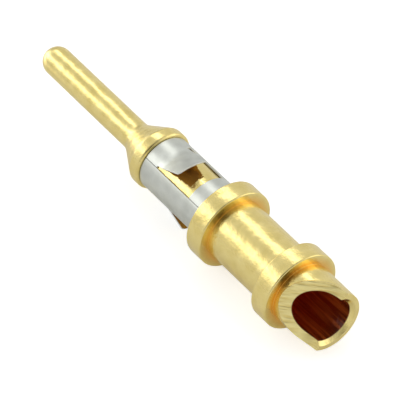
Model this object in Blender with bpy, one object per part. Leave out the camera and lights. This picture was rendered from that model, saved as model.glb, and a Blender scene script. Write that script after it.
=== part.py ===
"""Crimp pin contact: a turned, gold plated pin with a rolled steel retention clip round its neck.

Both pieces are laid out along the contact's own axis, with x running from the tip of the pin to the
wire end and angles measured round the axis from straight up towards +Y. The parent empty then sets
the contact level on its two collars and its lower lance, which all reach equally far from the axis.
Lengths are in metres and angles in degrees.
"""

import math

import bmesh
import bpy
from mathutils import Vector

MM = 0.001

# Turned body: diameters
PIN_DIAMETER = 1.575 * MM
FRONT_COLLAR_DIAMETER = 3.34 * MM
NECK_DIAMETER = 2.82 * MM
COLLAR_DIAMETER = 4.40 * MM
BODY_DIAMETER = 3.34 * MM
BARREL_DIAMETER = 3.36 * MM
BORE_DIAMETER = 2.40 * MM

# Turned body: lengths along the axis
PIN_LENGTH = 7.58 * MM
FLARE_LENGTH = 1.54 * MM
FRONT_COLLAR_LENGTH = 0.60 * MM
NECK_LENGTH = 4.75 * MM
BIG_COLLAR_LENGTH = 1.07 * MM
BODY_LENGTH = 4.11 * MM
REAR_COLLAR_LENGTH = 1.08 * MM
BARREL_LENGTH = 2.49 * MM
BORE_DEPTH = 6.0 * MM
DRILL_POINT_ANGLE = 118.0

# Turned body: rounded edges and inside corners, and the bore's countersink
FLARE_FILLET = 1.0 * MM
FRONT_COLLAR_FRONT_ROUND = 0.30 * MM
FRONT_COLLAR_REAR_ROUND = 0.16 * MM
NECK_FILLET = 0.15 * MM
COLLAR_EDGE_ROUND = 0.08 * MM
COLLAR_FILLET = 0.30 * MM
BARREL_END_ROUND = 0.05 * MM
COUNTERSINK = 0.20 * MM

# Oblique scoop milled out of one side of the wire barrel
SCOOP_LENGTH = 2.23 * MM
SCOOP_SLOPE = 45.0
SCOOP_PAST_AXIS = 0.02 * MM
SCOOP_CUTTER_RADIUS = 1.8 * MM
SCOOP_ANGLE = -56.0

# Retention clip, rolled from thin sheet with an open seam
CLIP_SHEET = 0.08 * MM
CLIP_CLEARANCE = 0.02 * MM
CLIP_END_GAP = 0.05 * MM
SEAM_GAP = 0.05 * MM

# Two lances, each cut free on three sides in a window of the clip and bent outwards, one with a twist
LANCE_FROM_SEAM = (39.8, 225.7)
LANCE_TWIST = (12.0, 0.0)
LANCE_HALF_ANGLE = 37.0
LANCE_LENGTH = 1.79 * MM
LANCE_END_HALF_WIDTH = 0.89 * MM
LANCE_END_CURVE = 2.9 * MM
LANCE_CORNER = 0.12 * MM
LANCE_BEND_SHARE = 0.30
WINDOW_START = 0.85 * MM
WINDOW_LENGTH = 2.62 * MM
WINDOW_SIDE_SLIT = 0.30 * MM

# Facets
TURN_STEPS = 64
FACET_ERROR = 0.005 * MM
CLIP_STEP_ANGLE = 6.0
LANCE_COLUMNS = 10
LANCE_ROWS = 12
SMOOTH_ANGLE = 30.0

# Radii, and places along the axis, that follow from the sizes
PIN_RADIUS = PIN_DIAMETER / 2
FRONT_COLLAR_RADIUS = FRONT_COLLAR_DIAMETER / 2
NECK_RADIUS = NECK_DIAMETER / 2
COLLAR_RADIUS = COLLAR_DIAMETER / 2
BODY_RADIUS = BODY_DIAMETER / 2
BARREL_RADIUS = BARREL_DIAMETER / 2
BORE_RADIUS = BORE_DIAMETER / 2
FRONT_COLLAR_START = PIN_LENGTH + FLARE_LENGTH
NECK_START = FRONT_COLLAR_START + FRONT_COLLAR_LENGTH
BIG_COLLAR_START = NECK_START + NECK_LENGTH
BODY_START = BIG_COLLAR_START + BIG_COLLAR_LENGTH
REAR_COLLAR_START = BODY_START + BODY_LENGTH
BARREL_START = REAR_COLLAR_START + REAR_COLLAR_LENGTH
WIRE_END = BARREL_START + BARREL_LENGTH
BORE_END = WIRE_END - BORE_DEPTH
CLIP_RADIUS = NECK_RADIUS + CLIP_CLEARANCE + CLIP_SHEET
CLIP_START = NECK_START + CLIP_END_GAP
CLIP_END = BIG_COLLAR_START - NECK_FILLET - CLIP_END_GAP
LANCE_ROOT = CLIP_START + WINDOW_START
WINDOW_END = LANCE_ROOT + WINDOW_LENGTH
LANCE_REACH = COLLAR_RADIUS
STRAIGHT_DOWN = 180.0
SEAM_ANGLE = STRAIGHT_DOWN - LANCE_FROM_SEAM[1]


def arc_points(centre, radius, start, turn):
    """Points on an arc in the plane of x and r, near enough together to keep to the facet error."""
    step = 2 * math.acos(1 - FACET_ERROR / radius)
    count = max(1, math.ceil(abs(turn) / step - 1e-6))
    points = []
    for i in range(count + 1):
        angle = start + turn * i / count
        points.append((centre[0] + radius * math.cos(angle), centre[1] + radius * math.sin(angle)))
    return points


def fillet_ends(before, corner, after, radius):
    """Centre, first angle and turn of the arc that rounds the corner between two straight runs."""
    corner = Vector(corner)
    back = (Vector(before) - corner).normalized()
    on = (Vector(after) - corner).normalized()
    half = back.angle(on) / 2
    centre = corner + (back + on).normalized() * (radius / math.sin(half))
    first = corner + back * (radius / math.tan(half)) - centre
    last = corner + on * (radius / math.tan(half)) - centre
    start = math.atan2(first.y, first.x)
    turn = math.atan2(last.y, last.x) - start
    return centre, start, (turn + math.pi) % (2 * math.pi) - math.pi


def rounded_profile(corners):
    """The line through corners given as (x, r, radius), each rounded by its own radius."""
    points = []
    for i, (x, r, radius) in enumerate(corners):
        if radius == 0:
            points.append((x, r))
            continue
        centre, start, turn = fillet_ends(corners[i - 1][:2], (x, r), corners[i + 1][:2], radius)
        points += arc_points(centre, radius, start, turn)
    return points


def body_profile():
    """The turned section, from the tip of the pin along the outside and back down the wire bore.

    The big collar's flat front face, which seats in the cavity, begins where the neck's fillet ends.
    """
    tip = arc_points((PIN_RADIUS, 0), PIN_RADIUS, math.pi, -math.pi / 2)
    tip[0] = (0, 0)
    drill_point = BORE_END - BORE_RADIUS / math.tan(math.radians(DRILL_POINT_ANGLE / 2))
    return tip[:-1] + rounded_profile(
        [
            (PIN_RADIUS, PIN_RADIUS, 0),
            (PIN_LENGTH, PIN_RADIUS, FLARE_FILLET),
            (FRONT_COLLAR_START, FRONT_COLLAR_RADIUS, FRONT_COLLAR_FRONT_ROUND),
            (NECK_START, FRONT_COLLAR_RADIUS, FRONT_COLLAR_REAR_ROUND),
            (NECK_START, NECK_RADIUS, 0),
            (BIG_COLLAR_START, NECK_RADIUS, NECK_FILLET),
            (BIG_COLLAR_START, COLLAR_RADIUS, COLLAR_EDGE_ROUND),
            (BODY_START, COLLAR_RADIUS, COLLAR_EDGE_ROUND),
            (BODY_START, BODY_RADIUS, COLLAR_FILLET),
            (REAR_COLLAR_START, BODY_RADIUS, 0),
            (REAR_COLLAR_START, COLLAR_RADIUS, COLLAR_EDGE_ROUND),
            (BARREL_START, COLLAR_RADIUS, COLLAR_EDGE_ROUND),
            (BARREL_START, BARREL_RADIUS, COLLAR_FILLET),
            (WIRE_END, BARREL_RADIUS, BARREL_END_ROUND),
            (WIRE_END, BORE_RADIUS + COUNTERSINK, 0),
            (WIRE_END - COUNTERSINK, BORE_RADIUS, 0),
            (BORE_END, BORE_RADIUS, 0),
            (drill_point, 0, 0),
        ]
    )


def around(x, radius, angle):
    """The point at a radius from the axis and at an angle from straight up towards +Y."""
    return Vector((x, radius * math.sin(math.radians(angle)), radius * math.cos(math.radians(angle))))


def finished_mesh(name, shape):
    """The mesh of a closed shape, with its faces turned outwards."""
    bmesh.ops.recalc_face_normals(shape, faces=shape.faces)
    mesh = bpy.data.meshes.new(name)
    shape.to_mesh(mesh)
    shape.free()
    return mesh


def turned_mesh(name, profile):
    """A solid of revolution about the X axis, from a profile that starts and ends on the axis."""
    shape = bmesh.new()
    points = [shape.verts.new((x, 0, r)) for x, r in profile]
    edges = [shape.edges.new(pair) for pair in zip(points, points[1:])]
    bmesh.ops.spin(
        shape,
        geom=points + edges,
        cent=(0, 0, 0),
        axis=(1, 0, 0),
        angle=2 * math.pi,
        steps=TURN_STEPS,
        use_merge=True,
    )
    bmesh.ops.remove_doubles(shape, verts=shape.verts, dist=FACET_ERROR / 100)
    return finished_mesh(name, shape)


def scoop_cutter_mesh(name):
    """The milled cut: a slope down from the barrel's surface, which the cutter's radius runs out.

    The section lies in the plane of the axis and the scoop's direction, and is as wide as the
    collars. It ends past the wire end, and its front stays clear of the rear collar.
    """
    start = WIRE_END - SCOOP_LENGTH
    foot = start + (BARREL_RADIUS + SCOOP_PAST_AXIS) / math.tan(math.radians(SCOOP_SLOPE))
    past_end = WIRE_END + SCOOP_CUTTER_RADIUS
    section = rounded_profile(
        [
            (start, COLLAR_RADIUS, 0),
            (start, BARREL_RADIUS, 0),
            (foot, -SCOOP_PAST_AXIS, SCOOP_CUTTER_RADIUS),
            (past_end, -SCOOP_PAST_AXIS, 0),
            (past_end, COLLAR_RADIUS, 0),
        ]
    )
    shape = bmesh.new()
    face = shape.faces.new([shape.verts.new((x, -COLLAR_RADIUS, height)) for x, height in section])
    extruded = bmesh.ops.extrude_face_region(shape, geom=[face])
    moved = [v for v in extruded["geom"] if isinstance(v, bmesh.types.BMVert)]
    bmesh.ops.translate(shape, verts=moved, vec=(0, COLLAR_DIAMETER, 0))
    return finished_mesh(name, shape)


def lance_point(centre_angle, twist, across, along, depth):
    """A point of a lance: across runs from -1 to 1, along from 0 at the root to 1 at the free end.

    Each cross section is an arc. Towards the free end the arc opens out from the sleeve's own
    curve, gets narrower, turns about its crown by the twist, and rises, first through a bend and
    then in a straight line, until its highest side reaches as far out as the collars. The depth is
    measured into the sheet, square to its surface.
    """
    curve = CLIP_RADIUS + (LANCE_END_CURVE - CLIP_RADIUS) * along
    root_half_width = CLIP_RADIUS * math.sin(math.radians(LANCE_HALF_ANGLE))
    half_width = root_half_width + (LANCE_END_HALF_WIDTH - root_half_width) * along
    into_corner = (along - 1) * LANCE_LENGTH + LANCE_CORNER
    if into_corner > 0:
        half_width -= LANCE_CORNER - math.sqrt(max(LANCE_CORNER**2 - into_corner**2, 0))
    turn = across * math.asin(half_width / curve)
    twist = math.radians(twist)
    crown_rise = LANCE_REACH - LANCE_END_CURVE * (1 - math.cos(twist)) - CLIP_RADIUS
    steepest = 1 / (1 - LANCE_BEND_SHARE / 2)
    if along < LANCE_BEND_SHARE:
        risen = steepest * along**2 / (2 * LANCE_BEND_SHARE)
        slope = steepest * along / LANCE_BEND_SHARE
    else:
        risen = steepest * (along - LANCE_BEND_SHARE / 2)
        slope = steepest
    lean = math.atan(slope * crown_rise / LANCE_LENGTH)
    from_crown = -curve * (1 - math.cos(turn)) - depth * math.cos(lean) * math.cos(turn)
    from_middle = (curve - depth * math.cos(lean)) * math.sin(turn)
    cosine = math.cos(twist * risen)
    sine = math.sin(twist * risen)
    x = LANCE_ROOT + along * LANCE_LENGTH + depth * math.sin(lean)
    outwards = CLIP_RADIUS + crown_rise * risen + from_crown * cosine - from_middle * sine
    sideways = from_middle * cosine + from_crown * sine
    return around(x, outwards, centre_angle) + around(0, sideways, centre_angle + 90)


def steps_to(start, end, step):
    """Values that go on from start to end, which is included, no further apart than the step."""
    count = max(1, math.ceil((end - start) / step - 1e-6))
    return [start + (end - start) * (i + 1) / count for i in range(count)]


def clip_columns():
    """The angles of the clip's grid lines from the seam, and the columns that each window takes.

    A lance nearer to the seam than its slit is wide opens its window into the seam.
    """
    slit = math.degrees(WINDOW_SIDE_SLIT / CLIP_RADIUS)
    columns = [0.0]
    windows = []
    for centre, twist in zip(LANCE_FROM_SEAM, LANCE_TWIST):
        lance_start = centre - LANCE_HALF_ANGLE
        if lance_start > slit:
            columns += steps_to(columns[-1], lance_start - slit, CLIP_STEP_ANGLE)
        window_first = len(columns) - 1
        lance_first = len(columns)
        columns += [lance_start + 2 * LANCE_HALF_ANGLE * i / LANCE_COLUMNS for i in range(LANCE_COLUMNS + 1)]
        columns.append(columns[-1] + slit)
        windows.append((centre, twist, window_first, lance_first, len(columns) - 1))
    columns += steps_to(columns[-1], 360 - math.degrees(SEAM_GAP / CLIP_RADIUS), CLIP_STEP_ANGLE)
    return columns, windows


def clip_mesh(name):
    """The rolled sheet: a grid of cells round the neck, with windows left out and lances put in.

    Every point of the grid has a vertex on the outside and one on the inside of the sheet. Each
    cell makes two faces, and each edge that belongs to one cell only makes a face through the sheet.
    """
    columns, windows = clip_columns()
    rows = (CLIP_START, LANCE_ROOT, WINDOW_END, CLIP_END)
    shape = bmesh.new()
    pairs = {}

    def sleeve_pair(column, row):
        key = ("sleeve", column, row)
        if key not in pairs:
            angle = SEAM_ANGLE + columns[column]
            outer = around(rows[row], CLIP_RADIUS, angle)
            inner = around(rows[row], CLIP_RADIUS - CLIP_SHEET, angle)
            pairs[key] = (shape.verts.new(outer), shape.verts.new(inner))
        return pairs[key]

    def lance_pair(centre, twist, first_column, column, row):
        if row == 0:
            return sleeve_pair(first_column + column, 1)
        key = (centre, column, row)
        if key not in pairs:
            place = (SEAM_ANGLE + centre, twist, 2 * column / LANCE_COLUMNS - 1, row / LANCE_ROWS)
            outer = lance_point(*place, 0)
            inner = lance_point(*place, CLIP_SHEET)
            pairs[key] = (shape.verts.new(outer), shape.verts.new(inner))
        return pairs[key]

    def cell(pair_at, column, row):
        corners = ((column, row), (column, row + 1), (column + 1, row + 1), (column + 1, row))
        return [pair_at(*corner) for corner in corners]

    cells = []
    for column in range(len(columns) - 1):
        for row in range(len(rows) - 1):
            in_window = row == 1 and any(first <= column < last for _, _, first, _, last in windows)
            if not in_window:
                cells.append(cell(sleeve_pair, column, row))
    for centre, twist, _, first_column, _ in windows:
        for column in range(LANCE_COLUMNS):
            for row in range(LANCE_ROWS):
                cells.append(cell(lambda c, r: lance_pair(centre, twist, first_column, c, r), column, row))
    sides = {}
    for corners in cells:
        shape.faces.new([pair[0] for pair in corners])
        shape.faces.new([pair[1] for pair in reversed(corners)])
        for side in zip(corners, corners[1:] + corners[:1]):
            sides.setdefault(frozenset(side), []).append(side)
    for used in sides.values():
        if len(used) == 1:
            start, end = used[0]
            shape.faces.new((end[0], start[0], start[1], end[1]))
    return finished_mesh(name, shape)


def metal(name, colour, roughness):
    """A metallic Principled material."""
    material = bpy.data.materials.new(name)
    material.use_nodes = True
    shader = material.node_tree.nodes["Principled BSDF"]
    shader.inputs["Base Color"].default_value = (*colour, 1)
    shader.inputs["Metallic"].default_value = 1
    shader.inputs["Roughness"].default_value = roughness
    return material


def add_piece(mesh, parent, material):
    """A piece of the contact, shaded smooth between its sharp edges."""
    piece = bpy.data.objects.new(mesh.name, mesh)
    bpy.context.scene.collection.objects.link(piece)
    piece.parent = parent
    mesh.materials.append(material)
    mesh.shade_smooth()
    mesh.set_sharp_from_angle(angle=math.radians(SMOOTH_ANGLE))
    return piece


def cut_scoop(body, parent):
    """Takes the scoop out of the body's wire barrel."""
    cutter = bpy.data.objects.new("scoop_cutter", scoop_cutter_mesh("scoop_cutter"))
    bpy.context.scene.collection.objects.link(cutter)
    cutter.parent = parent
    cutter.rotation_euler.x = -math.radians(SCOOP_ANGLE)
    cutter.hide_render = True
    cutter.display_type = "WIRE"
    scoop = body.modifiers.new("scoop", "BOOLEAN")
    scoop.operation = "DIFFERENCE"
    scoop.solver = "EXACT"
    scoop.object = cutter


def main():
    for piece in list(bpy.data.objects):
        bpy.data.objects.remove(piece, do_unlink=True)
    contact = bpy.data.objects.new("contact", None)
    bpy.context.scene.collection.objects.link(contact)
    contact.location = (-WIRE_END / 2, 0, COLLAR_RADIUS)
    gold = metal("gold_plate", (0.83, 0.64, 0.24), 0.22)
    steel = metal("spring_steel", (0.62, 0.63, 0.60), 0.28)
    body = add_piece(turned_mesh("contact_body", body_profile()), contact, gold)
    cut_scoop(body, contact)
    add_piece(clip_mesh("retention_clip"), contact, steel)


main()
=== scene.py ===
"""Crimp pin contact: the finish of the turned gold body and of the rolled steel clip, and the studio.

Lengths are in millimetres, with x along the contact's own axis from the tip of the pin, until a mesh
is placed in metres. Named angles are in degrees, and those round the axis go from straight up
towards +Y.
"""

import math

import bpy
import numpy as np
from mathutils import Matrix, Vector


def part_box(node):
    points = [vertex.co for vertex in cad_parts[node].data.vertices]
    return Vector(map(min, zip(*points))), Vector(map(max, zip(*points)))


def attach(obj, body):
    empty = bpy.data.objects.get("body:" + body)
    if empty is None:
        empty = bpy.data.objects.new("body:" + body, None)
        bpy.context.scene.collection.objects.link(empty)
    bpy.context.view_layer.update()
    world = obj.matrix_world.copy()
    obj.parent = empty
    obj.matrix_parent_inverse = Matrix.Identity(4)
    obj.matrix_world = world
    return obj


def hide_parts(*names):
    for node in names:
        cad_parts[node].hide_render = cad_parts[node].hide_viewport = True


MM = 0.001

# Sizes of the turned body
PIN_RADIUS = 0.7875
FRONT_COLLAR_RADIUS = 1.67
NECK_RADIUS = 1.41
COLLAR_RADIUS = 2.20
BODY_RADIUS = 1.67
BARREL_RADIUS = 1.68
BORE_RADIUS = 1.20
FLARE_START = 7.58
FRONT_COLLAR_START = 9.12
NECK_START = 9.72
BIG_COLLAR_START = 14.47
BODY_START = 15.54
REAR_COLLAR_START = 19.65
BARREL_START = 20.73
WIRE_END = 23.22
BORE_DEPTH = 6.0
DRILL_POINT_ANGLE = 118.0
FLARE_FILLET = 1.0
FRONT_COLLAR_FRONT_ROUND = 0.30
FRONT_COLLAR_REAR_ROUND = 0.16
NECK_FILLET = 0.15
COLLAR_EDGE_ROUND = 0.08
COLLAR_FILLET = 0.02
BARREL_END_ROUND = 0.05
COUNTERSINK = 0.20
BODY_EDGE_BREAK = 0.015

# The oblique cut milled through the wire end, and the angle round the axis that it faces
SCOOP_LENGTH = 2.23
SCOOP_SLOPE = 45.0
SCOOP_PAST_AXIS = 0.02
SCOOP_CUTTER_RADIUS = 1.8
SCOOP_ANGLE = -56.0

# Sizes of the rolled clip, whose lances are placed by their middle's angle from the seam
CLIP_SHEET = 0.08
CLIP_CLEARANCE = 0.02
CLIP_RADIUS = NECK_RADIUS + CLIP_CLEARANCE + CLIP_SHEET
CLIP_FRONT_GAP = 0.02
CLIP_REAR_GAP = 0.05
CLIP_START = NECK_START + CLIP_FRONT_GAP
CLIP_END = BIG_COLLAR_START - NECK_FILLET - CLIP_REAR_GAP
CLIP_EDGE_BREAK = 0.02
SEAM_GAP = 0.05
LANCE_FROM_SEAM = (39.8, 225.7)
LANCE_TWIST = (12.0, 0.0)
LANCE_HALF_ANGLE = 37.0
LANCE_FROM_NECK_START = 0.90
LANCE_ROOT = NECK_START + LANCE_FROM_NECK_START
LANCE_LENGTH = 1.79
LANCE_END_HALF_WIDTH = 0.89
LANCE_END_CURVE = 2.9
LANCE_CORNER = 0.12
LANCE_BEND_SHARE = 0.30
WINDOW_LENGTH = 2.62
WINDOW_END = LANCE_ROOT + WINDOW_LENGTH
WINDOW_SIDE_SLIT = 0.30

# How much narrower the seam is before and behind the windows
SEAM_CLOSED = 0.03

# The seam's angle round the axis, at which the second lance points straight down
SEAM_ANGLE = 180.0 - LANCE_FROM_SEAM[1]

# How finely the surfaces are divided
OUTLINE_STEP = 0.5
ARC_STEP = 6.0
TURN_COLUMNS = 288
CUT_COLUMNS = 151
BARREL_ROWS = 20
END_ROUND_ROWS = 5
END_RING_ROWS = 5
COUNTERSINK_ROWS = 6
BORE_ROWS = 29
DRILL_POINT_ROWS = 7
CLIP_ANGLE_STEP = 2.0
CLIP_ROW_STEP = 0.12
LANCE_ROWS = 28

# Places and angles that differ by less than this are the same
SAME = 1e-6

# How far into the bore its painted red, which stands in for shade and red reflections inside the bore, is at
# its clearest
CLEAR_PAINTED_RED_DEPTH = 3.6

# How far from the corner behind each collar the plate is painted a deeper gold, as painted shade in that
# hollow
CORNER_SHADE_REACH = 0.40

# How far from the neck's radius its smooth finish goes, and so how far up its fillet
NECK_FINISH_RISE = 0.012

# Shades of the gold, each list as (noise value, colour) from the darkest to the palest
PLATE_SHADES = ((0.30, (0.87, 0.70, 0.25)), (0.70, (0.97, 0.81, 0.34)))
CUT_SHADES = ((0.32, (0.84, 0.67, 0.24)), (0.62, (1.0, 0.86, 0.38)))
# Painted shade and painted red reflection in the bore: dark at its mouth, a clearer red deeper in
BORE_MOUTH_PAINTED_SHADE = ((0.38, (0.10, 0.016, 0.002)), (0.66, (0.34, 0.075, 0.012)))
BORE_DEEP_PAINTED_REFLECTION = ((0.35, (0.74, 0.040, 0.003)), (0.68, (1.0, 0.12, 0.010)))
# Painted shade: the deeper gold in the corner behind each collar, and how strongly it is painted
PAINTED_CORNER_SHADE = (0.92, 0.47, 0.07, 1)
PAINTED_CORNER_SHADE_STRENGTH = 0.80

# How rough and how metallic the gold is
PLATE_ROUGHNESS = (0.19, 0.27)
NECK_ROUGHNESS = 0.07
CUT_ROUGHNESS = 0.30
NECK_METALLIC = 0.94
BORE_METALLIC = 0.25

# The tool's marks on the cut and down the bore, with a direction across them and one along them
MILLED_MARKS = {
    "Spacing": 0.13,
    "Length": 1.3,
    "Across": (-0.217, 0.351, 0.909),
    "Along": (0.672, 0.729, -0.121),
}
BORED_MARKS = {"Spacing": 0.16, "Length": 3.0, "Across": (0, 0.82, 0.57), "Along": (1, 0, 0)}

# How far apart the fine rings are on each metal, and how many blotches the mottle has to a millimetre
PLATE_RING_SPACING = 0.06
SHEET_RING_SPACING = 0.08
MOTTLE_PER_MM = 1.6

# How deep the marks are: the rings, the tool's marks and the mottle of the plate and of the sheet
RING_DEPTH = 0.004
TOOL_MARK_DEPTH = 0.040
PLATE_MOTTLE_DEPTH = 0.065
SHEET_MOTTLE_DEPTH = 0.040

# The clip's finishes: the darkest shade, the palest shade and how metallic it is. The inside's brown is
# painted shade with a painted reflection of the gold neck, and the cut edges' pale steel is a painted
# highlight
CLIP_FINISHES = {
    "rolled_spring_steel": ((0.61, 0.63, 0.57), (0.73, 0.75, 0.69), 1),
    # Painted shade: the inside is dark brown for the shade under the lances and the gold neck reflected there
    "clip_inside_painted_shade": ((0.30, 0.15, 0.015), (0.44, 0.23, 0.03), 0.7),
    # Painted highlight: the cut edges are a pale steel for the bright line of light they catch
    "clip_cut_edge_painted_highlight": ((0.78, 0.79, 0.76), (0.93, 0.94, 0.91), 0.4),
}
SHEET_ROUGHNESS = (0.33, 0.44)

# Where noise mostly lies between 0 and 1
NOISE_RANGE = (0.3, 0.7)

# The first of a Mix node's two inputs, and its output, for numbers and for colours
MIX_SOCKETS = {"FLOAT": (2, 0), "RGBA": (6, 2)}

# Where the camera stands, and the pixel at which it sees a point of the axis
IMAGE_SIZE = 400
FOCAL_PIXELS = 4600
SENSOR_WIDTH = 36.0
VIEW_AZIMUTH = 52.9
VIEW_ELEVATION = 46.1
VIEW_DISTANCE = 226.2
NEAREST_SEEN = 10
AIM_X = 12.89
AIM_PIXEL = (202.3, 199.0)


def round_axis(angle, lean=-0.553):
    """A direction with a share along the contact's axis, at an angle round it from straight up."""
    across = math.sqrt(1 - lean**2)
    return (lean, across * math.sin(math.radians(angle)), across * math.cos(math.radians(angle)))


# The light tent: its plain light, then patches as (towards, width, height, light added or taken)
TENT_LIGHT = 0.70
TENT_PATCHES = (
    (round_axis(23), 0.36, 0.15, 1.50),
    (round_axis(-48), 0.45, 0.19, 1.05),
    ((-0.85, -0.42, 0.32), 0.34, 0.22, 1.5),
    ((-0.99, -0.12, 0.03), 0.22, 0.25, 1.4),
    (round_axis(-30, 0.553), 0.48, 0.62, -0.68),
    ((0.45, 0.83, 0.30), 0.42, 0.36, 1.00),
    ((0.75, -0.66, 0.01), 0.30, 0.30, 0.22),
    ((-0.93, 0.35, 0.18), 0.30, 0.22, -0.30),
)

# The lamp over the contact
LAMP_TOWARDS = round_axis(25)
LAMP_DISTANCE = 200
LAMP_SIZE = (140, 40)
LAMP_RADIANCE = 0.35

# The floor, and its own light: for the camera, and in the metal's reflections with a brighter spot
# before the pin, which is evenly lit up to a share of its reach
FLOOR_HALF_WIDTH = 2000
FLOOR_COLOUR = (0.8, 0.8, 0.8, 1)
FLOOR_FOR_CAMERA = 0.60
FLOOR_IN_METAL = 0.10
BRIGHT_SPOT_CENTRE = (-40, -5, 0)
BRIGHT_SPOT_REACH = (28, 9, 1000)
BRIGHT_SPOT_EVEN_SHARE = 0.6
BRIGHT_SPOT_LIGHT = 1.9

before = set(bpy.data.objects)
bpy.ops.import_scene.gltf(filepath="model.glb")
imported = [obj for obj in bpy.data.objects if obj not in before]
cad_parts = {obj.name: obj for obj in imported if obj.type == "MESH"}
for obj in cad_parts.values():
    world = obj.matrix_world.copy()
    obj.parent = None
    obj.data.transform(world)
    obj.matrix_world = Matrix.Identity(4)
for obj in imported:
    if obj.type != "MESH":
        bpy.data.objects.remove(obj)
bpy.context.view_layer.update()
BODY_LOW, BODY_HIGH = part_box("contact_body")
TIP_X = BODY_LOW.x
AXIS_Y = (BODY_LOW.y + BODY_HIGH.y) / 2
AXIS_Z = (BODY_LOW.z + BODY_HIGH.z) / 2


# Outlines


def arc(centre, radius, start, turn):
    """Points at equal steps along an arc: the centre plus the radius at each angle, in radians."""
    count = max(2, math.ceil(abs(turn) / math.radians(ARC_STEP)))
    angle = start + turn * np.linspace(0, 1, count + 1)
    return np.column_stack((centre[0] + radius * np.cos(angle), centre[1] + radius * np.sin(angle)))


def rounded_line(corners):
    """The outline through corners (x, r, radius), each replaced by the arc that touches both runs."""
    pieces = []
    for i, (x, r, radius) in enumerate(corners):
        if radius == 0:
            pieces.append(np.array([[x, r]]))
            continue
        corner = Vector((x, r))
        back = (Vector(corners[i - 1][:2]) - corner).normalized()
        on = (Vector(corners[i + 1][:2]) - corner).normalized()
        half = back.angle(on) / 2
        centre = corner + (back + on).normalized() * (radius / math.sin(half))
        first = corner + back * (radius / math.tan(half)) - centre
        last = corner + on * (radius / math.tan(half)) - centre
        start = math.atan2(first.y, first.x)
        turn = (math.atan2(last.y, last.x) - start + math.pi) % (2 * math.pi) - math.pi
        pieces.append(arc(centre, radius, start, turn))
    return np.vstack(pieces)


def divided(outline, step):
    """The outline with extra points on its long straight runs, so that no run is over the step."""
    pieces = [outline[:1]]
    for a, b in zip(outline[:-1], outline[1:]):
        count = max(1, math.ceil(float(np.hypot(*(b - a))) / step))
        share = np.linspace(0, 1, count + 1)[1:, None]
        pieces.append(a + (b - a) * share)
    return np.vstack(pieces)


def placed(x, r, angle):
    """World points in metres of places given by x, radius and angle in radians from straight up."""
    return np.stack(
        (
            TIP_X + x * MM,
            AXIS_Y + r * np.sin(angle) * MM,
            AXIS_Z + r * np.cos(angle) * MM,
        ),
        axis=-1,
    )


# Meshes


def mesh_object(name, points, faces, shade_angle=30):
    """An object at the origin from an array of points and a list of face arrays."""
    mesh = bpy.data.meshes.new(name)
    rows = [face for block in faces for face in block.tolist()]
    mesh.from_pydata(points.reshape(-1, 3).tolist(), [], rows)
    mesh.update()
    mesh.shade_smooth()
    mesh.set_sharp_from_angle(angle=math.radians(shade_angle))
    piece = bpy.data.objects.new(name, mesh)
    bpy.context.scene.collection.objects.link(piece)
    return piece


def point_values(piece, name, values):
    """Stores one number for each point of the piece under a name that its material reads."""
    layer = piece.data.attributes.new(name, "FLOAT", "POINT")
    layer.data.foreach_set("value", np.asarray(values, np.float32).ravel())


def break_edges(piece, width, angle):
    """Rounds the piece's edges at which its faces turn by more than the angle."""
    bevel = piece.modifiers.new("edge_break", "BEVEL")
    bevel.width = width * MM
    bevel.segments = 2
    bevel.limit_method = "ANGLE"
    bevel.angle_limit = math.radians(angle)
    bevel.harden_normals = True


# The turned body


def body_outline():
    """Points (x, r) from the tip of the pin along the outside to where the barrel starts."""
    nose = arc((PIN_RADIUS, 0), PIN_RADIUS, math.pi, -math.pi / 2)
    nose[0] = (0, 0)
    side = rounded_line(
        [
            (PIN_RADIUS, PIN_RADIUS, 0),
            (FLARE_START, PIN_RADIUS, FLARE_FILLET),
            (FRONT_COLLAR_START, FRONT_COLLAR_RADIUS, FRONT_COLLAR_FRONT_ROUND),
            (NECK_START, FRONT_COLLAR_RADIUS, FRONT_COLLAR_REAR_ROUND),
            (NECK_START, NECK_RADIUS, 0),
            (BIG_COLLAR_START, NECK_RADIUS, NECK_FILLET),
            (BIG_COLLAR_START, COLLAR_RADIUS, COLLAR_EDGE_ROUND),
            (BODY_START, COLLAR_RADIUS, COLLAR_EDGE_ROUND),
            (BODY_START, BODY_RADIUS, COLLAR_FILLET),
            (REAR_COLLAR_START, BODY_RADIUS, 0),
            (REAR_COLLAR_START, COLLAR_RADIUS, COLLAR_EDGE_ROUND),
            (BARREL_START, COLLAR_RADIUS, COLLAR_EDGE_ROUND),
            (BARREL_START, BARREL_RADIUS, COLLAR_FILLET),
            (WIRE_END, BARREL_RADIUS, 0),
        ]
    )[:-1]
    return divided(np.vstack((nose[:-1], side)), OUTLINE_STEP)


def scoop_side():
    """The milled cut from the side: its slope in radians, its start, and the centre of its arc.

    The arc touches the slope and dips below the axis by the distance that the cut goes past it.
    """
    slope = math.radians(SCOOP_SLOPE)
    start = WIRE_END - SCOOP_LENGTH
    foot = start + (BARREL_RADIUS + SCOOP_PAST_AXIS) / math.tan(slope)
    centre_x = foot + SCOOP_CUTTER_RADIUS * math.tan(slope / 2)
    return slope, start, centre_x, SCOOP_CUTTER_RADIUS - SCOOP_PAST_AXIS


def scoop_height(x):
    """Height over the axis of the milled cut at x: the slope, then the arc that the cutter leaves."""
    slope, start, centre_x, centre_height = scoop_side()
    on_slope = BARREL_RADIUS - (x - start) * math.tan(slope)
    on_arc = centre_height - np.sqrt(np.maximum(SCOOP_CUTTER_RADIUS**2 - (centre_x - x) ** 2, 0))
    return np.where(x < centre_x - SCOOP_CUTTER_RADIUS * math.sin(slope), on_slope, on_arc)


def scoop_x(height):
    """Where along the axis the milled cut has a height: the inverse of scoop_height."""
    slope, start, centre_x, centre_height = scoop_side()
    on_slope = start + (BARREL_RADIUS - height) / math.tan(slope)
    on_arc = centre_x - np.sqrt(np.maximum(SCOOP_CUTTER_RADIUS**2 - (centre_height - height) ** 2, 0))
    return np.where(height > centre_height - SCOOP_CUTTER_RADIUS * math.cos(slope), on_slope, on_arc)


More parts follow.
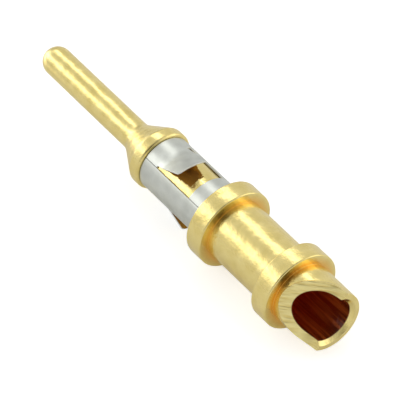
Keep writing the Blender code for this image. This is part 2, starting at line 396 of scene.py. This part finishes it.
def end_rows():
    """Rows of the wire end from the outside inwards: the radius, and x where the scoop hasn't cut.

    The outer edge is a small arc, then comes the flat ring, then the countersink's cone.
    """
    ring_outer = BARREL_RADIUS - BARREL_END_ROUND
    ring_inner = BORE_RADIUS + COUNTERSINK
    lean = np.linspace(0, math.pi / 2, END_ROUND_ROWS)
    r = np.concatenate(
        (
            ring_outer + BARREL_END_ROUND * np.cos(lean),
            np.linspace(ring_outer, ring_inner, END_RING_ROWS + 1)[1:],
            np.linspace(ring_inner, BORE_RADIUS, COUNTERSINK_ROWS + 1)[1:],
        )
    )
    x = np.concatenate(
        (
            WIRE_END - BARREL_END_ROUND + BARREL_END_ROUND * np.sin(lean),
            np.full(END_RING_ROWS, WIRE_END),
            WIRE_END - np.linspace(0, COUNTERSINK, COUNTERSINK_ROWS + 1)[1:],
        )
    )
    return r[:, None], x[:, None]


def column_angles(r, x_uncut):
    """Angles of the columns in radians from the scoop's middle, with one on each end of the cut.

    The cut ends where its height at the uncut surface's x is met: at arccos(height / r).
    """
    half = np.arccos(scoop_height(x_uncut) / r)
    inside = -half + 2 * half * np.arange(CUT_COLUMNS) / CUT_COLUMNS
    rest = TURN_COLUMNS - CUT_COLUMNS
    outside = half + (2 * math.pi - 2 * half) * np.arange(rest) / rest
    return np.hstack((inside, outside))


def body_points():
    """The body as one grid: each row has a radius and, for every column, an angle and an x.

    Rows run from the tip along the outside to the wire end, across the end and down the bore. On
    the end x is the smaller of the uncut surface's x and the scoop's x at the height r cos(angle).
    """
    outside = body_outline()
    end_r, end_x = end_rows()
    end_angle = column_angles(end_r, end_x)
    in_cut = np.arange(TURN_COLUMNS) <= CUT_COLUMNS
    end_place = np.where(in_cut, np.minimum(scoop_x(end_r * np.cos(end_angle)), end_x), end_x)

    barrel_start = outside[-1, 0]
    share = np.linspace(0, 1, BARREL_ROWS + 2)[1:-1, None]
    barrel_x = barrel_start + (end_place[0] - barrel_start) * share
    bore_end = WIRE_END - BORE_DEPTH
    share = np.linspace(0, 1, BORE_ROWS + 1)[1:, None]
    bore_x = end_place[-1] + (bore_end - end_place[-1]) * share
    drill_tip = bore_end - BORE_RADIUS / math.tan(math.radians(DRILL_POINT_ANGLE / 2))
    share = np.linspace(0, 1, DRILL_POINT_ROWS + 1)[1:, None]
    blocks = (
        (outside[:, :1], outside[:, 1:], end_angle[0]),
        (barrel_x, BARREL_RADIUS, end_angle[0]),
        (end_place, end_r, end_angle),
        (bore_x, BORE_RADIUS, end_angle[-1]),
        (bore_end + (drill_tip - bore_end) * share, BORE_RADIUS * (1 - share), end_angle[-1]),
    )
    grids = [np.broadcast_arrays(*block) for block in blocks]
    x, r, angle = (np.vstack(rows) for rows in zip(*grids))

    first = len(outside) + len(barrel_x)
    end = slice(first, first + len(end_r))
    milled = in_cut & (end_place < end_x - SAME)
    return placed(x, r, angle + math.radians(SCOOP_ANGLE)), body_masks(x, r, end, milled)


def body_masks(x, r, end, milled):
    """Numbers from 0 to 1 on the body's grid that say where its finish changes.

    Given are the end's rows and which of their points are milled. "deep" grows evenly from the mouth
    of the bore inwards, and "corner", where painted shade deepens the gold, fades evenly with the
    distance from a collar's rear corner.
    "neck" goes by the radius alone, and so it also has the inner edge of the wire end's flat ring.
    """
    cut = np.zeros(x.shape)
    cut[end] = milled
    bore = np.zeros(x.shape)
    bore[end.stop - 1 :] = 1
    deep = np.zeros(x.shape)
    # How far in each bore point is, which sets how clear the bore's painted red is
    deep[end.stop :] = np.clip((x[end.stop - 1] - x[end.stop :]) / CLEAR_PAINTED_RED_DEPTH, 0, 1)
    neck = np.abs(r - NECK_RADIUS) < NECK_FINISH_RISE
    # Where painted shade deepens the gold behind each collar
    corner = np.zeros(x.shape)
    for start, foot in ((BODY_START, BODY_RADIUS), (BARREL_START, BARREL_RADIUS)):
        away = np.hypot(x - start, r - foot) / CORNER_SHADE_REACH
        corner = np.maximum(corner, np.where(r >= foot, 1 - away, 0))
    return {"cut": cut, "bore": bore, "deep": deep, "neck": neck, "corner": corner * (1 - cut)}


def closed_grid_faces(rows, columns):
    """Quads of a grid that closes on itself round the columns, with a fan at each pole row."""
    j = np.arange(columns)
    k = (j + 1) % columns
    i = np.arange(rows - 3)[:, None] * columns + 1
    quads = np.stack((i + columns + j, i + columns + k, i + k, i + j), axis=-1).reshape(-1, 4)
    first = np.stack((1 + j, 1 + k, np.zeros(columns, int)), axis=-1)
    last_ring = (rows - 3) * columns + 1
    pole = np.full(columns, last_ring + columns)
    last = np.stack((pole, last_ring + k, last_ring + j), axis=-1)
    return quads, first, last


def make_body(material):
    """The body's grid with one point at each pole, and its masks stored on its points."""
    points, masks = body_points()

    def one_at_each_pole(grid):
        return np.concatenate((grid[0, :1], grid[1:-1].reshape(-1, *grid.shape[2:]), grid[-1, :1]))

    faces = closed_grid_faces(*points.shape[:2])
    piece = mesh_object("contact_body_skin", one_at_each_pole(points), faces)
    for name, values in masks.items():
        point_values(piece, name, one_at_each_pole(values))
    piece.data.materials.append(material)
    break_edges(piece, BODY_EDGE_BREAK, angle=40)
    return piece


# The rolled clip


def spaced(stops, step):
    """Values through all the stops, evenly spaced between each two and no further than the step."""
    pieces = [np.array(stops[:1], float)]
    for a, b in zip(stops[:-1], stops[1:]):
        count = max(1, math.ceil((b - a) / step))
        pieces.append(np.linspace(a, b, count + 1)[1:])
    return np.concatenate(pieces)


def lance_surface(twist, across, along):
    """The outside of a lance, as x, distance outwards and distance sideways from its own middle.

    Each cross section is an arc whose radius grows and whose width shrinks towards the free end.
    Its crown rises through a bend, where the slope grows evenly, and then in a straight line, and
    with that rise the arc turns about its crown until, at the free end, it has turned by the twist.
    """
    curve = CLIP_RADIUS + (LANCE_END_CURVE - CLIP_RADIUS) * along
    root_half = CLIP_RADIUS * math.sin(math.radians(LANCE_HALF_ANGLE))
    half_width = root_half + (LANCE_END_HALF_WIDTH - root_half) * along
    into_corner = np.clip((along - 1) * LANCE_LENGTH + LANCE_CORNER, 0, LANCE_CORNER)
    half_width = half_width - (LANCE_CORNER - np.sqrt(LANCE_CORNER**2 - into_corner**2))
    turn = across * np.arcsin(half_width / curve)
    twist = math.radians(twist)
    crown_rise = COLLAR_RADIUS - LANCE_END_CURVE * (1 - math.cos(twist)) - CLIP_RADIUS
    bend = LANCE_BEND_SHARE
    steepest = 1 / (1 - bend / 2)
    risen = np.where(along < bend, steepest * along**2 / (2 * bend), steepest * (along - bend / 2))
    cosine = np.cos(twist * risen)
    sine = np.sin(twist * risen)
    from_crown = -curve * (1 - np.cos(turn))
    from_middle = curve * np.sin(turn)
    outwards = CLIP_RADIUS + crown_rise * risen + from_crown * cosine - from_middle * sine
    sideways = from_middle * cosine + from_crown * sine
    return LANCE_ROOT + along * LANCE_LENGTH, outwards, sideways


def clip_columns(slit):
    """Angles of the clip's columns, with one on each edge of the lances and windows.

    The first window is open towards the seam, where there is no room for a slit beside its lance.
    """
    stops = [-math.degrees(SEAM_CLOSED / CLIP_RADIUS)]
    for centre in LANCE_FROM_SEAM:
        if centre - LANCE_HALF_ANGLE > slit:
            stops.append(centre - LANCE_HALF_ANGLE - slit)
        stops += [centre - LANCE_HALF_ANGLE, centre + LANCE_HALF_ANGLE, centre + LANCE_HALF_ANGLE + slit]
    stops.append(360 - math.degrees(SEAM_GAP / CLIP_RADIUS))
    return spaced(stops, CLIP_ANGLE_STEP)


def grid_quads(index):
    """The quads between the rows and columns of a grid of point numbers."""
    return np.stack((index[:-1, :-1], index[1:, :-1], index[1:, 1:], index[:-1, 1:]), axis=-1)


def clip_net():
    """Points and quads of the clip's outer surface: a rolled grid with its windows cut out.

    A grid point lies at the clip's radius, at its column's angle and its row's x. Each lance is a
    grid of its own whose first row is the sleeve's own row at the root.
    """
    slit = math.degrees(WINDOW_SIDE_SLIT / CLIP_RADIUS)
    angles = clip_columns(slit)
    rows = spaced([CLIP_START, LANCE_ROOT, WINDOW_END, CLIP_END], CLIP_ROW_STEP)
    column_angle, row_x = np.meshgrid(angles, rows)
    index = np.arange(row_x.size).reshape(row_x.shape)
    middle_angle = (angles[:-1] + angles[1:]) / 2
    middle_x = (rows[:-1] + rows[1:]) / 2
    in_rows = (middle_x > LANCE_ROOT) & (middle_x < WINDOW_END)
    from_lance = np.min([np.abs(middle_angle - centre) for centre in LANCE_FROM_SEAM], axis=0)
    in_window = in_rows[:, None] & (from_lance < LANCE_HALF_ANGLE + slit)
    points = [placed(row_x, CLIP_RADIUS, np.radians(SEAM_ANGLE + column_angle)).reshape(-1, 3)]
    quads = [grid_quads(index)[~in_window]]

    root_row = int(np.argmin(np.abs(rows - LANCE_ROOT)))
    along = np.arange(1, LANCE_ROWS + 1) / LANCE_ROWS
    total = index.size
    for centre, twist in zip(LANCE_FROM_SEAM, LANCE_TWIST):
        columns = np.flatnonzero(np.abs(angles - centre) < LANCE_HALF_ANGLE + SAME)
        across = (angles[columns] - centre) / LANCE_HALF_ANGLE
        x, outwards, sideways = lance_surface(twist, *np.meshgrid(across, along))
        angle = np.arctan2(sideways, outwards) + math.radians(SEAM_ANGLE + centre)
        points.append(placed(x, np.hypot(outwards, sideways), angle).reshape(-1, 3))
        own = total + np.arange(x.size).reshape(x.shape)
        total += x.size
        quads.append(grid_quads(np.vstack((index[root_row, columns], own))).reshape(-1, 4))
    return np.vstack(points), np.vstack(quads)


def make_clip(materials):
    """The clip's net given its thickness inwards: its outside, inside and cut edges, in that order."""
    points, quads = clip_net()
    used, faces = np.unique(quads, return_inverse=True)
    piece = mesh_object("retention_clip_skin", points[used], (faces.reshape(-1, 4),), shade_angle=40)
    for material in materials:
        piece.data.materials.append(material)
    sheet = piece.modifiers.new("sheet", "SOLIDIFY")
    sheet.thickness = CLIP_SHEET * MM
    sheet.offset = -1
    sheet.material_offset = 1
    sheet.material_offset_rim = 2
    break_edges(piece, CLIP_EDGE_BREAK, angle=50)
    return piece


# Materials


class Shading:
    """Short ways to add nodes to one tree. What feeds an input is a socket or a value of its own."""

    def __init__(self, tree):
        self.nodes = tree.nodes
        self.links = tree.links

    def feed(self, socket, value):
        """Links a socket to the input, or gives the input a number, a colour or a vector."""
        if isinstance(value, bpy.types.NodeSocket):
            self.links.new(value, socket)
        else:
            socket.default_value = value

    def node(self, kind, inputs=None, **settings):
        """A new node with its settings, such as an operation, and what feeds its inputs."""
        node = self.nodes.new(kind)
        for name, value in settings.items():
            setattr(node, name, value)
        for key, value in (inputs or {}).items():
            self.feed(node.inputs[key], value)
        return node

    def maths(self, operation, *values):
        """The result of a Math node."""
        return self.node("ShaderNodeMath", dict(enumerate(values)), operation=operation).outputs[0]

    def vector_maths(self, operation, *values):
        """The outputs of a Vector Math node: its Vector and its Value."""
        return self.node("ShaderNodeVectorMath", dict(enumerate(values)), operation=operation).outputs

    def mixed(self, kind, factor, first, second):
        """From the first to the second by the factor, as numbers (FLOAT) or as colours (RGBA)."""
        place, result = MIX_SOCKETS[kind]
        node = self.node("ShaderNodeMix", {0: factor, place: first, place + 1: second}, data_type=kind)
        return node.outputs[result]

    def mask(self, name):
        """What point_values stored under a name, as a number on the surface."""
        return self.node("ShaderNodeAttribute", attribute_name=name).outputs["Fac"]

    def noise(self, place, scale, detail, dimensions="3D"):
        """Noise from 0 to 1 at a place."""
        inputs = {"Vector": place, "Scale": scale, "Detail": detail}
        return self.node("ShaderNodeTexNoise", inputs, noise_dimensions=dimensions).outputs["Fac"]

    def shades(self, value, stops):
        """A colour between two (value, colour) stops."""
        ramp = self.node("ShaderNodeValToRGB", {0: value})
        for element, (position, colour) in zip(ramp.color_ramp.elements, stops):
            element.position = position
            element.color = (*colour, 1)
        return ramp.outputs[0]

    def spread(self, noise, low, high):
        """Noise taken from where it mostly lies to the range from low to high."""
        least, most = NOISE_RANGE
        inputs = {"Value": noise, "From Min": least, "From Max": most, "To Min": low, "To Max": high}
        return self.node("ShaderNodeMapRange", inputs).outputs[0]

    def bump(self, height, depth, strength, under=None):
        """The normal of a relief whose height of 0 to 1 stands for a depth, on a normal under it."""
        inputs = {"Strength": strength, "Distance": depth * MM, "Height": height}
        if under is not None:
            inputs["Normal"] = under
        return self.node("ShaderNodeBump", inputs).outputs["Normal"]

    def group(self, tree, **values):
        """The outputs of a shared group placed with its own input values."""
        return self.node("ShaderNodeGroup", values, node_tree=tree).outputs


def new_group(name, inputs, outputs):
    """A node group with an input for each default, a number or a vector, and with number outputs."""
    tree = bpy.data.node_groups.new(name, "ShaderNodeTree")
    for label, default in inputs.items():
        kind = "NodeSocketVector" if isinstance(default, tuple) else "NodeSocketFloat"
        tree.interface.new_socket(label, in_out="INPUT", socket_type=kind).default_value = default
    for label in outputs:
        tree.interface.new_socket(label, in_out="OUTPUT", socket_type="NodeSocketFloat")
    shading = Shading(tree)
    given = shading.node("NodeGroupInput").outputs
    result = shading.node("NodeGroupOutput").inputs
    return tree, shading, given, result


def turning_marks_group():
    """Fine rings round the axis, as noise read at (x, distance from the axis), and a soft mottle."""
    tree, shading, given, result = new_group("turning_marks", {"Spacing": 0.05}, ("Rings", "Mottle"))
    place = shading.node("ShaderNodeTexCoord").outputs["Object"]
    split = shading.node("ShaderNodeSeparateXYZ", {0: place}).outputs
    y = shading.maths("SUBTRACT", split["Y"], AXIS_Y)
    z = shading.maths("SUBTRACT", split["Z"], AXIS_Z)
    squares = shading.maths("ADD", shading.maths("MULTIPLY", y, y), shading.maths("MULTIPLY", z, z))
    radius = shading.maths("SQRT", squares)
    per_metre = shading.maths("DIVIDE", 1 / MM, given["Spacing"])
    shares = {
        "X": shading.maths("MULTIPLY", split["X"], per_metre),
        "Y": shading.maths("MULTIPLY", radius, per_metre),
    }
    ring_place = shading.node("ShaderNodeCombineXYZ", shares).outputs[0]
    shading.feed(result["Rings"], shading.noise(ring_place, scale=1, detail=3, dimensions="2D"))
    shading.feed(result["Mottle"], shading.noise(place, scale=MOTTLE_PER_MM / MM, detail=4))
    return tree


def tool_marks_group():
    """Straight marks left by a tool: noise that is fine along one line and long along another."""
    defaults = {"Spacing": 0.05, "Length": 1.0, "Across": (1, 0, 0), "Along": (0, 1, 0)}
    tree, shading, given, result = new_group("tool_marks", defaults, ("Marks",))
    place = shading.node("ShaderNodeTexCoord").outputs["Object"]
    shares = {}
    for socket, direction, size in (("X", "Across", "Spacing"), ("Y", "Along", "Length")):
        distance = shading.vector_maths("DOT_PRODUCT", place, given[direction])["Value"]
        per_metre = shading.maths("DIVIDE", 1 / MM, given[size])
        shares[socket] = shading.maths("MULTIPLY", distance, per_metre)
    mark_place = shading.node("ShaderNodeCombineXYZ", shares).outputs[0]
    shading.feed(result["Marks"], shading.noise(mark_place, scale=1, detail=2, dimensions="2D"))
    return tree


def new_material(name):
    """A material, and the short ways to add nodes to it."""
    material = bpy.data.materials.new(name)
    material.use_nodes = True
    return material, Shading(material.node_tree)


def gold_material(turning_marks, tool_marks):
    """Bright turned gold plate: faint rings, soft mottling, tool marks on the cut, a bore painted dark red.

    The bore's red is painted shade and a painted red reflection, darker at its mouth, and the deeper
    gold in the corner behind each collar is painted shade.
    """
    material, shading = new_material("turned_gold_plate")
    surface = shading.nodes["Principled BSDF"].inputs
    turned = shading.group(turning_marks, Spacing=PLATE_RING_SPACING)
    milled = shading.group(tool_marks, **MILLED_MARKS)["Marks"]
    bored = shading.group(tool_marks, **BORED_MARKS)["Marks"]
    cut, bore, neck = (shading.mask(name) for name in ("cut", "bore", "neck"))

    # Painted shade: the plate turns a deeper gold towards the corner behind each collar
    corner = shading.maths("MULTIPLY", shading.mask("corner"), PAINTED_CORNER_SHADE_STRENGTH)
    plate = shading.mixed("RGBA", corner, shading.shades(turned["Mottle"], PLATE_SHADES), PAINTED_CORNER_SHADE)
    plate = shading.mixed("RGBA", cut, plate, shading.shades(milled, CUT_SHADES))
    # Painted shade and painted red reflection: the bore is dark at its mouth and a clearer red deeper in
    mouth = shading.shades(bored, BORE_MOUTH_PAINTED_SHADE)
    red = shading.mixed("RGBA", shading.mask("deep"), mouth, shading.shades(bored, BORE_DEEP_PAINTED_REFLECTION))
    shading.feed(surface["Base Color"], shading.mixed("RGBA", bore, plate, red))

    metallic = shading.mixed("FLOAT", neck, 1.0, NECK_METALLIC)
    shading.feed(surface["Metallic"], shading.mixed("FLOAT", bore, metallic, BORE_METALLIC))
    rough = shading.spread(turned["Mottle"], *PLATE_ROUGHNESS)
    rough = shading.mixed("FLOAT", neck, rough, NECK_ROUGHNESS)
    shading.feed(surface["Roughness"], shading.mixed("FLOAT", cut, rough, CUT_ROUGHNESS))

    rings = shading.bump(turned["Rings"], RING_DEPTH, strength=0.15)
    on_cut = shading.mixed("FLOAT", cut, 0.0, milled)
    lines = shading.bump(on_cut, TOOL_MARK_DEPTH, strength=0.7, under=rings)
    relief = shading.bump(turned["Mottle"], PLATE_MOTTLE_DEPTH, strength=0.7, under=lines)
    shading.feed(surface["Normal"], relief)
    return material


def steel_material(name, turning_marks, darkest, palest, metallic):
    """Rolled spring steel between two shades, with faint streaks and a slight waviness."""
    material, shading = new_material(name)
    surface = shading.nodes["Principled BSDF"].inputs
    rolled = shading.group(turning_marks, Spacing=SHEET_RING_SPACING)
    least, most = NOISE_RANGE
    shade = shading.shades(rolled["Mottle"], ((least, darkest), (most, palest)))
    shading.feed(surface["Base Color"], shade)
    shading.feed(surface["Metallic"], metallic)
    shading.feed(surface["Roughness"], shading.spread(rolled["Mottle"], *SHEET_ROUGHNESS))
    streaks = shading.bump(rolled["Rings"], RING_DEPTH, strength=0.12)
    waves = shading.bump(rolled["Mottle"], SHEET_MOTTLE_DEPTH, strength=0.5, under=streaks)
    shading.feed(surface["Normal"], waves)
    return material


# The studio


def floor_material():
    """A white floor that the light reaches, lifted for the camera so that it reads as white.

    In the metal's reflections it is lifted too, most in a soft oval spot before the pin's tip.
    """
    material, shading = new_material("white_floor")
    shading.nodes.remove(shading.nodes["Principled BSDF"])
    path = shading.node("ShaderNodeLightPath").outputs
    place = shading.node("ShaderNodeTexCoord").outputs["Object"]
    centre = tuple(length * MM for length in BRIGHT_SPOT_CENTRE)
    reach = tuple(length * MM for length in BRIGHT_SPOT_REACH)
    from_centre = shading.vector_maths("SUBTRACT", place, centre)["Vector"]
    shares = shading.vector_maths("DIVIDE", from_centre, reach)["Vector"]
    spot = {
        "Value": shading.vector_maths("LENGTH", shares)["Value"],
        "From Min": BRIGHT_SPOT_EVEN_SHARE,
        "To Min": BRIGHT_SPOT_LIGHT,
        "To Max": FLOOR_IN_METAL,
    }
    lit = shading.node("ShaderNodeMapRange", spot, interpolation_type="SMOOTHSTEP").outputs[0]
    in_metal = shading.maths("MAXIMUM", path["Is Glossy Ray"], path["Is Transmission Ray"])
    for_metal = shading.maths("MULTIPLY", in_metal, lit)
    for_camera = shading.maths("MULTIPLY", path["Is Camera Ray"], FLOOR_FOR_CAMERA)
    strength = shading.maths("ADD", for_metal, for_camera)
    glow = shading.node("ShaderNodeEmission", {"Color": (1, 1, 1, 1), "Strength": strength})
    white = shading.node("ShaderNodeBsdfDiffuse", {"Color": FLOOR_COLOUR})
    both = shading.node("ShaderNodeAddShader", {0: white.outputs[0], 1: glow.outputs[0]})
    shading.feed(shading.nodes["Material Output"].inputs["Surface"], both.outputs[0])
    return material


def make_floor():
    half = FLOOR_HALF_WIDTH * MM
    corners = np.array([[-half, -half, 0], [half, -half, 0], [half, half, 0], [-half, half, 0]])
    floor = mesh_object("studio_floor", corners, (np.array([[0, 1, 2, 3]]),))
    floor.data.materials.append(floor_material())


def soft_patch(shading, direction, towards, wide, tall, amount):
    """A soft patch of the tent: the amount times exp(-(a / wide)^2 - (b / tall)^2), on its own side.

    a and b are the parts of the direction along the contact's axis and round it, as seen from the
    patch's middle.
    """
    middle = Vector(towards).normalized()
    along = (Vector((1, 0, 0)) - middle * middle.x).normalized()
    axes = (along, middle.cross(along), middle)
    a, b, facing = (shading.vector_maths("DOT_PRODUCT", direction, axis)["Value"] for axis in axes)
    squares = []
    for part, size in ((a, wide), (b, tall)):
        share = shading.maths("DIVIDE", part, size)
        squares.append(shading.maths("MULTIPLY", share, share))
    total = shading.maths("ADD", *squares)
    bell = shading.maths("EXPONENT", shading.maths("MULTIPLY", total, -1.0))
    same_side = shading.maths("GREATER_THAN", facing, 0.0)
    return shading.maths("MULTIPLY", shading.maths("MULTIPLY", bell, amount), same_side)


def make_world():
    """A white light tent, a little brighter and darker in soft patches, and plain white to the camera."""
    world = bpy.data.worlds.new("studio_world")
    world.use_nodes = True
    shading = Shading(world.node_tree)
    direction = shading.node("ShaderNodeTexCoord").outputs["Generated"]
    light = TENT_LIGHT
    for patch in TENT_PATCHES:
        light = shading.maths("ADD", soft_patch(shading, direction, *patch), light)
    path = shading.node("ShaderNodeLightPath").outputs
    background = shading.nodes["Background"].inputs
    shading.feed(background["Color"], (1, 1, 1, 1))
    shading.feed(background["Strength"], shading.mixed("FLOAT", path["Is Camera Ray"], light, 1.0))
    bpy.context.scene.world = world


def make_lamp():
    """An area lamp over the contact, facing it, with the power that gives its radiance."""
    wide, tall = (size * MM for size in LAMP_SIZE)
    lamp = bpy.data.lights.new("overhead_softbox", "AREA")
    lamp.shape = "RECTANGLE"
    lamp.size = wide
    lamp.size_y = tall
    lamp.energy = LAMP_RADIANCE * math.pi * wide * tall
    box = bpy.data.objects.new("overhead_softbox", lamp)
    bpy.context.scene.collection.objects.link(box)
    towards = Vector(LAMP_TOWARDS).normalized()
    box.location = Vector((0, AXIS_Y, AXIS_Z)) + towards * LAMP_DISTANCE * MM
    box.rotation_euler = towards.to_track_quat("Z", "Y").to_euler()


def make_camera():
    """A camera in the view's direction that sees the aimed point of the axis at its pixel."""
    azimuth = math.radians(VIEW_AZIMUTH)
    elevation = math.radians(VIEW_ELEVATION)
    to_camera = Vector(
        (
            math.sin(azimuth) * math.cos(elevation),
            -math.cos(azimuth) * math.cos(elevation),
            math.sin(elevation),
        )
    )
    right = Vector((math.cos(azimuth), math.sin(azimuth), 0))
    up = to_camera.cross(right)
    centre = IMAGE_SIZE / 2
    ray = -to_camera
    ray += right * ((AIM_PIXEL[0] - centre) / FOCAL_PIXELS)
    ray -= up * ((AIM_PIXEL[1] - centre) / FOCAL_PIXELS)
    aim = Vector((TIP_X + AIM_X * MM, AXIS_Y, AXIS_Z))
    data = bpy.data.cameras.new("camera")
    data.sensor_width = SENSOR_WIDTH
    data.lens = SENSOR_WIDTH * FOCAL_PIXELS / IMAGE_SIZE
    data.clip_start = NEAREST_SEEN * MM
    camera = bpy.data.objects.new("camera", data)
    bpy.context.scene.collection.objects.link(camera)
    camera.location = aim - ray.normalized() * VIEW_DISTANCE * MM
    camera.rotation_euler = to_camera.to_track_quat("Z", "Y").to_euler()
    bpy.context.scene.camera = camera


def main():
    marks = turning_marks_group()
    body = make_body(gold_material(marks, tool_marks_group()))
    clip = make_clip([steel_material(name, marks, *finish) for name, finish in CLIP_FINISHES.items()])
    for piece, node, slot in ((body, "contact_body", "gold_plate"), (clip, "retention_clip", "spring_steel")):
        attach(piece, "root")
        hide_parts(node)
    make_floor()
    make_world()
    make_lamp()
    make_camera()
    bpy.context.scene.view_settings.view_transform = "Standard"


main()
